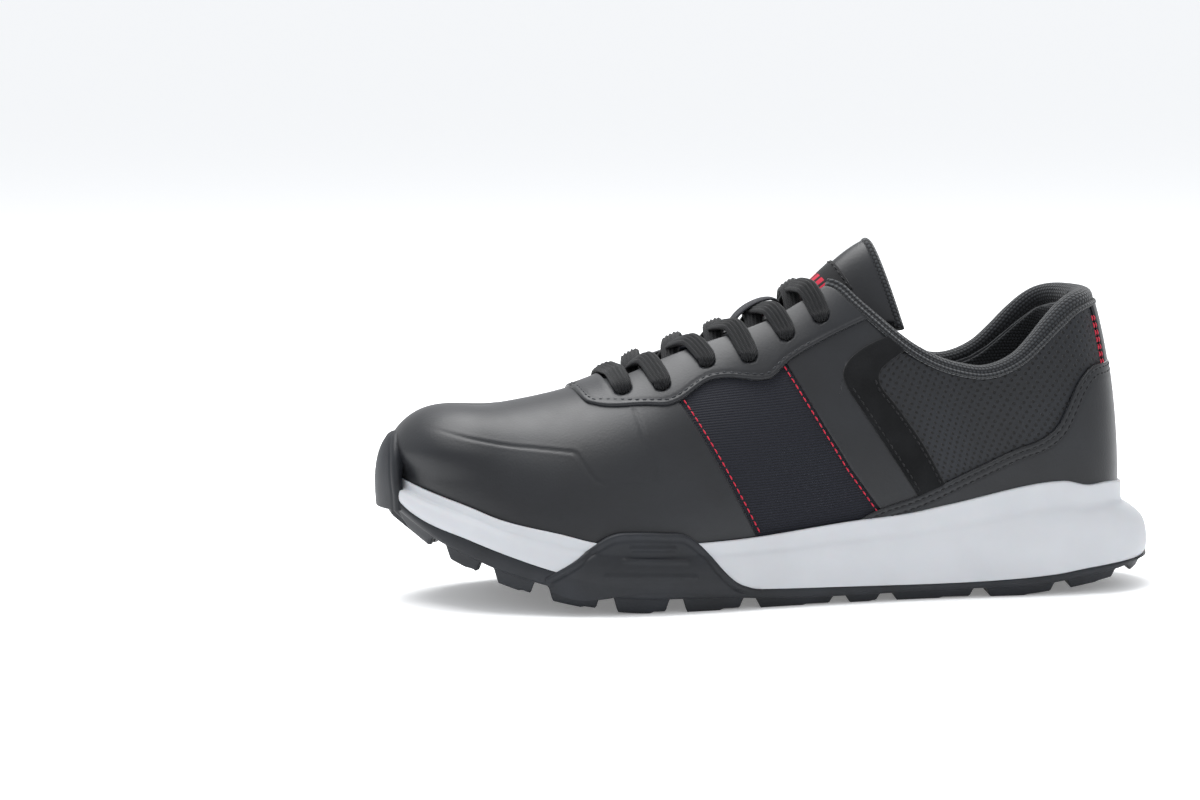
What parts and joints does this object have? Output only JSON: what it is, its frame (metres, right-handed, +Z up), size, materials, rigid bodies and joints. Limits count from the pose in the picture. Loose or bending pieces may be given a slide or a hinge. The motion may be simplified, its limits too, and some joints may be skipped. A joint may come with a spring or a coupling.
{
  "type": "golf shoe",
  "caption": "Left low-cut spikeless golf shoe with laced leather upper, textile side bands, thick foam midsole and lugged rubber outsole.",
  "frame": {"origin": "on the ground, under the middle of the shoe's bounding box", "axes": "+X towards the heel, -X towards the toe, -Y lateral (outer) side, +Y medial side, +Z up"},
  "size_m": [0.3076, 0.1114, 0.1382],
  "materials": {
    "leather": "smooth charcoal-black full-grain leather, satin",
    "perforated_leather": "perforated black leather, soft sheen",
    "suede": "flat black brushed suede",
    "textile": "fine ribbed black-navy woven textile",
    "knit": "black spacer knit lining",
    "foam": "open-cell padding foam",
    "board": "non-woven insole board",
    "stiffener": "thermoplastic stiffener sheet",
    "rubber": "matt slate-black moulded rubber",
    "midsole_foam": "moulded white-grey EVA foam, matt",
    "lace": "flat woven polyester lace with raised ribs",
    "aglet": "black plastic film",
    "label": "woven label, black with plain red bars"
  },
  "bodies": {
    "shoe": {"outsole": "rubber", "midsole": "midsole_foam", "strobel_board": "board", "vamp": "leather", "lateral_textile_band": "textile", "lateral_quarter": "leather", "lateral_collar_panel": "perforated_leather", "lateral_suede_strap": "suede", "medial_textile_band": "textile", "medial_quarter": "leather", "medial_collar_panel": "perforated_leather", "medial_suede_strap": "suede", "eyestay": "leather", "heel_overlay": "leather", "heel_back_strip": "leather", "toe_puff": "stiffener", "heel_counter": "stiffener", "upper_lining": "knit", "collar_lining": "knit", "collar_padding": "foam", "collar_topline": "knit", "tongue_face": "leather", "tongue_foam": "foam", "tongue_lining": "knit", "lace_keeper": "textile", "lace": "lace", "lateral_aglet": "aglet", "medial_aglet": "aglet"},
    "tongue_flap": {"flap_face": "leather", "flap_foam": "foam", "flap_lining": "knit", "tongue_binding": "textile", "tongue_label": "label"},
    "footbed": {"footbed": "knit"}
  },
  "joints": [
    {"name": "tongue_flex", "type": "hinge", "parent": "shoe", "child": "tongue_flap", "pos_m": [0.0137, 0, 0.1156], "axis": [0, -1, 0], "range_deg": [-8, 25], "stiffness_Nm_per_rad": 0.3},
    {"name": "footbed_lift", "type": "hinge", "parent": "shoe", "child": "footbed", "pos_m": [-0.1389, 0, 0.0435], "axis": [0, -1, 0], "range_deg": [0, 1.6]}
  ]
}
